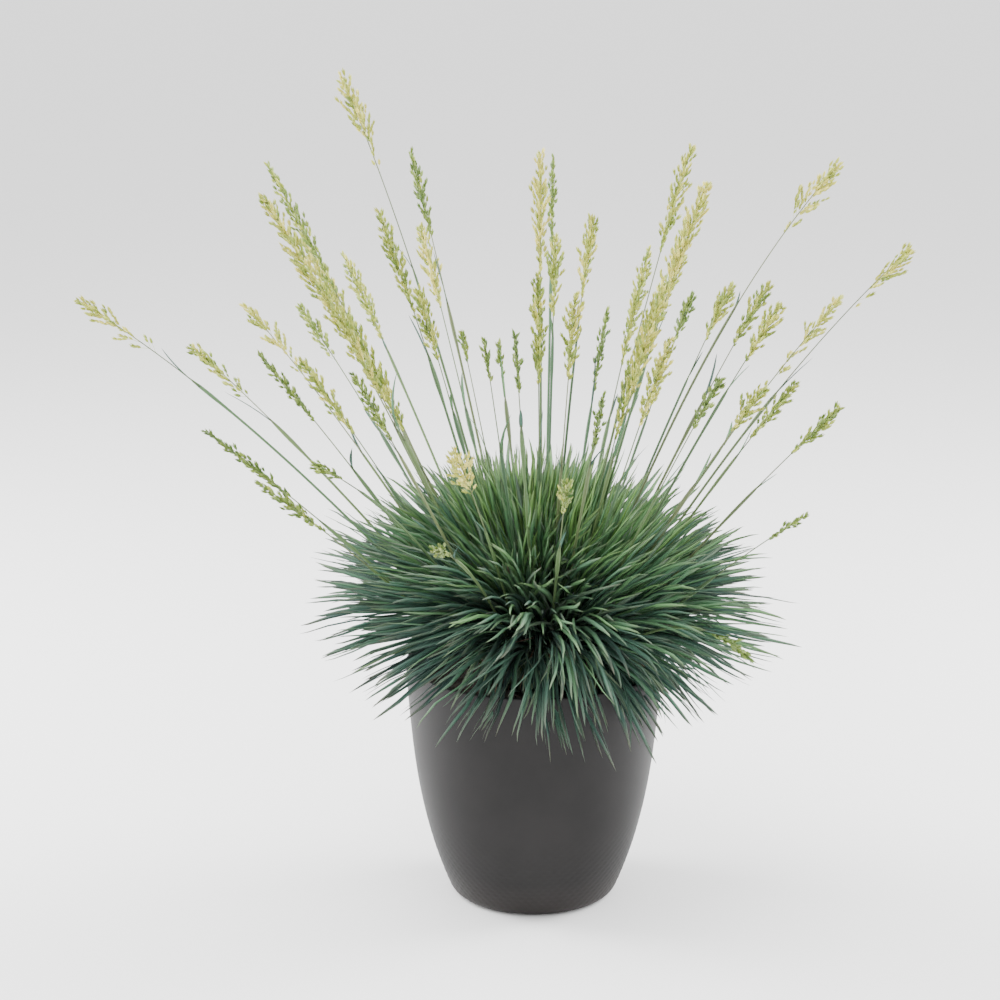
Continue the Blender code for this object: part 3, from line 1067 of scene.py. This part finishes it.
# %% [markdown]
# The plastic is a dark warm grey, satin rather than glossy, with the faint
# mottling of moulded polypropylene, paler and warmer low on the wall. Noise
# on the object's own coordinates drives the colour and the roughness.

# %% Anthracite plastic
PALER_FOOT_HEIGHT = 0.03


def pot_finish():
    finish = Finish("Anthracite plastic", Specular_IOR_Level=0.18)
    place = finish.node("ShaderNodeTexCoord", output="Object")
    cloudy = finish.mottle(place, 22.0, 4.0)
    grain = finish.mottle(place, 1400.0, 2.0)
    height = finish.node("ShaderNodeSeparateXYZ", inputs={0: place}, output="Z")
    # paler and warmer colour towards the foot, fading out over the lowest 3 cm
    paler_foot = (1 - height / PALER_FOOT_HEIGHT).maths("MAXIMUM", 0.0) * 0.45
    colour = finish.ramp(cloudy, (0.35, (0.0088, 0.0082, 0.0082)), (0.65, (0.0122, 0.0112, 0.0112)))
    finish.set("Base Color", finish.mix(paler_foot, colour, (0.034, 0.028, 0.026)))
    finish.set("Roughness", 0.40 + cloudy * 0.14 + grain * 0.06)
    finish.bump(grain, 0.00003)
    return finish


flower_pot = turned_pot()
flower_pot.data.materials.append(pot_finish().material)
finish_piece(flower_pot, "pot_plastic", "pot")

# %% [markdown]
# ## The compost
#
# Between the leaves and the lip a strip of damp compost shows, nearly black,
# made of crumbs and bark fibres. A finely divided disc with noise gives the
# lumpy ground, and Geometry Nodes strew loose crumbs over it.

# %% Compost ground
SOIL_RINGS = 40
SOIL_SPOKES = 120
SOIL_WALL_ROWS = 12
SOIL_GAP = 0.0006
LUMP_SCALE = 160
LUMP_HEIGHT = 0.0014
LUMP_DROP = 0.0015


def soil_height(x, y, top):
    lumps = noise.fractal(Vector((x, y, 0)) * LUMP_SCALE, 0.8, 2.2, 4)
    return top - LUMP_DROP + LUMP_HEIGHT * lumps


def compost_block():
    """A lumpy top, made of rings with no set height, and a side that follows the pot."""
    low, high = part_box("soil")
    outline = [(high[0] * (i + 1) / SOIL_RINGS, None) for i in range(SOIL_RINGS)]
    heights = np.linspace(high[2] - 0.004, low[2] + 0.002, SOIL_WALL_ROWS)
    outline += [(min(high[0], wall_radius(z) - WALL - SOIL_GAP), z) for z in heights]
    shape = bmesh.new()
    top = shape.verts.new((0, 0, high[2]))
    rings = []
    for radius, height in outline:
        ring = []
        for i in range(SOIL_SPOKES):
            azimuth = 2 * pi * i / SOIL_SPOKES
            x, y = radius * cos(azimuth), radius * sin(azimuth)
            z = soil_height(x, y, high[2]) if height is None else height
            ring.append(shape.verts.new((x, y, z)))
        rings.append(ring)
    for i in range(SOIL_SPOKES):
        shape.faces.new((top, rings[0][i], rings[0][(i + 1) % SOIL_SPOKES]))
    join_rings(shape, rings)
    shape.faces.new(rings[-1])
    return smooth_piece("compost", shape)


def compost_finish():
    finish = Finish("Damp compost", Specular_IOR_Level=0.3)
    place = finish.node("ShaderNodeTexCoord", output="Object")
    crumbs = finish.mottle(place, 420.0, 6.0)
    bark = finish.node("ShaderNodeTexVoronoi", inputs={"Vector": place, "Scale": 260.0},
                       output="Distance")
    colour = finish.ramp(crumbs, (0.30, (0.006, 0.004, 0.003)), (0.55, (0.022, 0.014, 0.009)),
                         (0.75, (0.060, 0.038, 0.022)))
    finish.set("Base Color", colour)
    finish.set("Roughness", 0.75 + crumbs * 0.25)
    finish.bump(crumbs - bark * 0.5, 0.0008)
    return finish


damp_compost = compost_finish()
compost = compost_block()
compost.data.materials.append(damp_compost.material)
finish_piece(compost, "compost", "soil")

# %% Loose crumbs
FULL_TURN = 6.3


def crumb_rule(finish):
    grow = Growth("Crumbs", Crumbs=1500, Radius=0.087, Size=0.0016, Seed=2)
    points = grow.node("GeometryNodePoints", inputs={"Count": grow.size("Crumbs")})
    index = grow.node("GeometryNodeInputIndex")
    azimuth = index * GOLDEN_ANGLE
    out = ((index + 0.5) / grow.size("Crumbs")).maths("SQRT") * grow.size("Radius")
    place = grow.xyz(out * azimuth.maths("COSINE"), out * azimuth.maths("SINE"),
                     soil_top + grow.random(-0.0016, -0.0002, 1))
    points = grow.node("GeometryNodeSetPosition", inputs={"Geometry": points, "Position": place})
    lump = grow.node("GeometryNodeMeshIcoSphere", inputs={"Radius": 0.5, "Subdivisions": 1},
                     output="Mesh")
    turn = grow.xyz(*(grow.random(0.0, FULL_TURN, salt) for salt in (2, 3, 4)))
    size = grow.size("Size")
    scale = grow.xyz(size * grow.random(0.5, 1.6, 5), size * grow.random(0.4, 1.0, 6),
                     size * grow.random(0.3, 0.9, 7))
    placed = {"Points": points, "Instance": lump, "Rotation": turn, "Scale": scale}
    grow.end(grow.node("GeometryNodeInstanceOnPoints", inputs=placed), finish)
    return grow


crumbs = crumb_rule(damp_compost).grow("compost_crumbs")
finish_piece(crumbs, "compost")

# %% [markdown]
# ## Floor, light and camera
#
# A pale floor and a wide white sky keep the shadows soft. Tall soft boxes to
# the left and right, a little behind, draw the light edges of the pot, and a
# large one above the front lights the leaves. The camera looks slightly down,
# from far enough away that the pot's sides stay nearly straight.

# %% Floor
FLOOR_SIZE = 40.0


def pale_floor():
    bpy.ops.mesh.primitive_plane_add(size=FLOOR_SIZE, location=(0, 0, pot_low.z))
    floor = bpy.context.object
    floor.name = "floor"
    finish = Finish("Pale floor", Roughness=0.8, Base_Color=(0.86, 0.86, 0.86, 1.0))
    floor.data.materials.append(finish.material)


pale_floor()

# %% Light
LIGHT_TARGET = (0, 0, 0.2)
SKY_STRENGTH = 2.0


def soft_box(name, place, width, height, watts):
    """A rectangular lamp that faces the middle of the plant."""
    light = bpy.data.lights.new(name, "AREA")
    light.shape = "RECTANGLE"
    light.size = width
    light.size_y = height
    light.energy = watts
    lamp = bpy.data.objects.new(name, light)
    lamp.location = place
    aim = Vector(LIGHT_TARGET) - lamp.location
    lamp.rotation_euler = aim.to_track_quat("-Z", "Y").to_euler()
    bpy.context.scene.collection.objects.link(lamp)


for name, side in (("left box", -1), ("right box", 1)):
    soft_box(name, place=(side * 1.6, 0.5, 0.95), width=0.8, height=1.6, watts=78)
soft_box("top box", place=(-0.5, -0.4, 1.9), width=1.2, height=1.2, watts=32)

sky = bpy.data.worlds.new("white sky")
sky.use_nodes = True
background = sky.node_tree.nodes["Background"]
background.inputs["Color"].default_value = (1, 1, 1, 1)
background.inputs["Strength"].default_value = SKY_STRENGTH
bpy.context.scene.world = sky

# %% Camera
CAMERA_SIDE = -0.0245
CAMERA_BACK = 1.883
CAMERA_HEIGHT = 0.7575
CAMERA_PITCH = radians(13.8)
LENS = 97.6

lens = bpy.data.cameras.new("camera")
lens.lens = LENS
lens.clip_start = 0.01
camera = bpy.data.objects.new("camera", lens)
camera.location = (CAMERA_SIDE, -CAMERA_BACK, CAMERA_HEIGHT)
camera.rotation_euler = (pi / 2 - CAMERA_PITCH, 0, 0)
bpy.context.scene.collection.objects.link(camera)
bpy.context.scene.camera = camera
